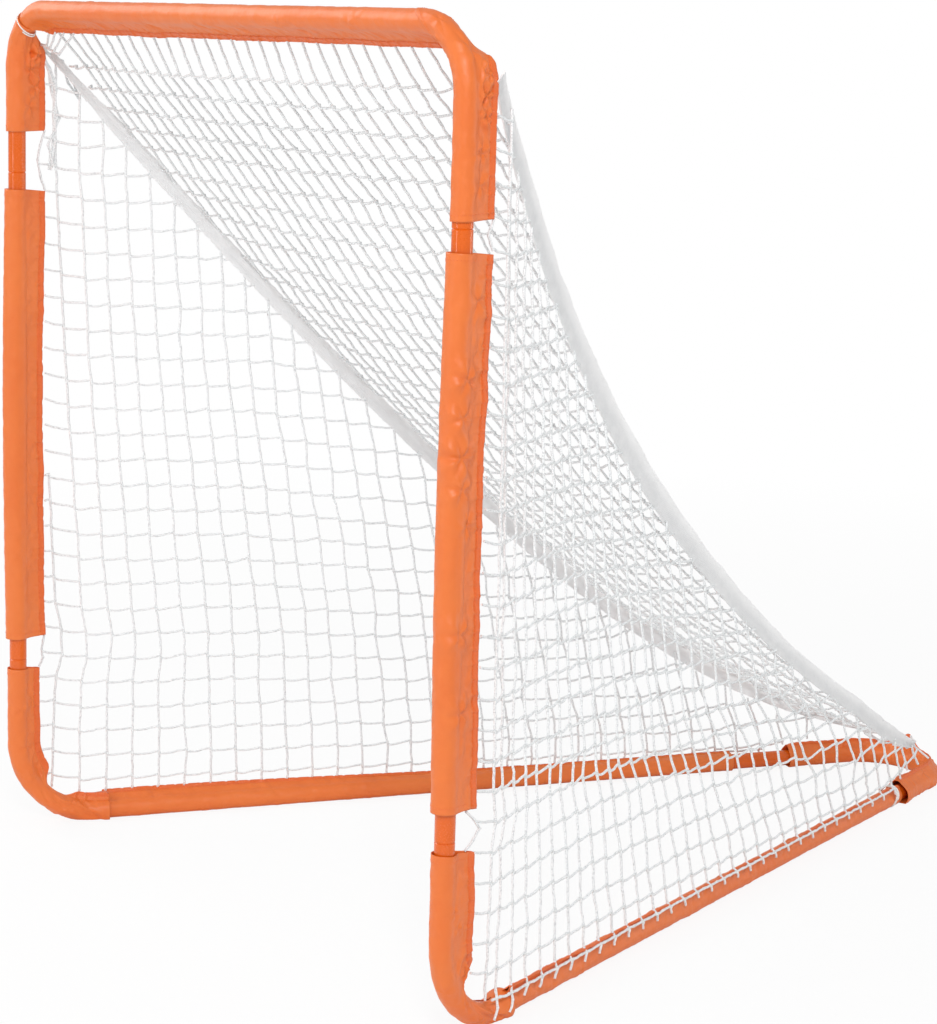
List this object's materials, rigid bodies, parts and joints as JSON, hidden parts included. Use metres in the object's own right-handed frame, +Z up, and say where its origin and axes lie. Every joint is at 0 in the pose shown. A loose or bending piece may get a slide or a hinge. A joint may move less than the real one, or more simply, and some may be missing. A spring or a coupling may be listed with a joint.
{
  "type": "lacrosse goal",
  "caption": "Portable lacrosse goal: slip-together tube frame in sewn fabric sleeves, with a net that slopes from the crossbar to a rear point on the ground.",
  "frame": {"origin": "centre of the goal's footprint, on the ground", "axes": "+X to the shooter's right, +Y back to the rear point, +Z up"},
  "size_m": [1.0746, 1.4248, 1.2195],
  "materials": {
    "tube": "gloss powder coat",
    "sleeve": "coated woven cloth, satin",
    "net": "knotless cord",
    "webbing": "flat woven webbing",
    "cord": "twisted cord"
  },
  "bodies": {
    "base": {"left_base_elbow": "tube", "right_base_elbow": "tube", "left_base_rail": "tube", "right_base_rail": "tube", "rear_apex_tube": "tube", "left_base_corner_sleeve": "sleeve", "right_base_corner_sleeve": "sleeve", "left_rail_sleeve": "sleeve", "right_rail_sleeve": "sleeve", "rear_apex_sleeve": "sleeve", "left_side_net": "net", "right_side_net": "net", "back_net": "net", "left_seam_band": "webbing", "right_seam_band": "webbing", "right_rail_lashing": "cord"},
    "left_post": {"left_post_tube": "tube", "left_post_sleeve": "sleeve"},
    "right_post": {"right_post_tube": "tube", "right_post_sleeve": "sleeve"},
    "top_arch": {"crossbar_tube": "tube", "top_left_elbow": "tube", "top_right_elbow": "tube", "crossbar_sleeve": "sleeve", "top_left_corner_sleeve": "sleeve", "top_right_corner_sleeve": "sleeve", "left_corner_tie": "cord"}
  },
  "joints": [
    {"name": "left_post_lift", "type": "slide", "parent": "base", "child": "left_post", "axis": [0, 0, 1], "range_m": [0, 0.065]},
    {"name": "right_post_lift", "type": "slide", "parent": "base", "child": "right_post", "axis": [0, 0, 1], "range_m": [0, 0.065]},
    {"name": "top_arch_lift", "type": "slide", "parent": "left_post", "child": "top_arch", "axis": [0, 0, 1], "range_m": [0, 0.065]}
  ],
  "couplings": [
    {"joint": "right_post_lift", "follows": "left_post_lift", "ratio": 1}
  ]
}
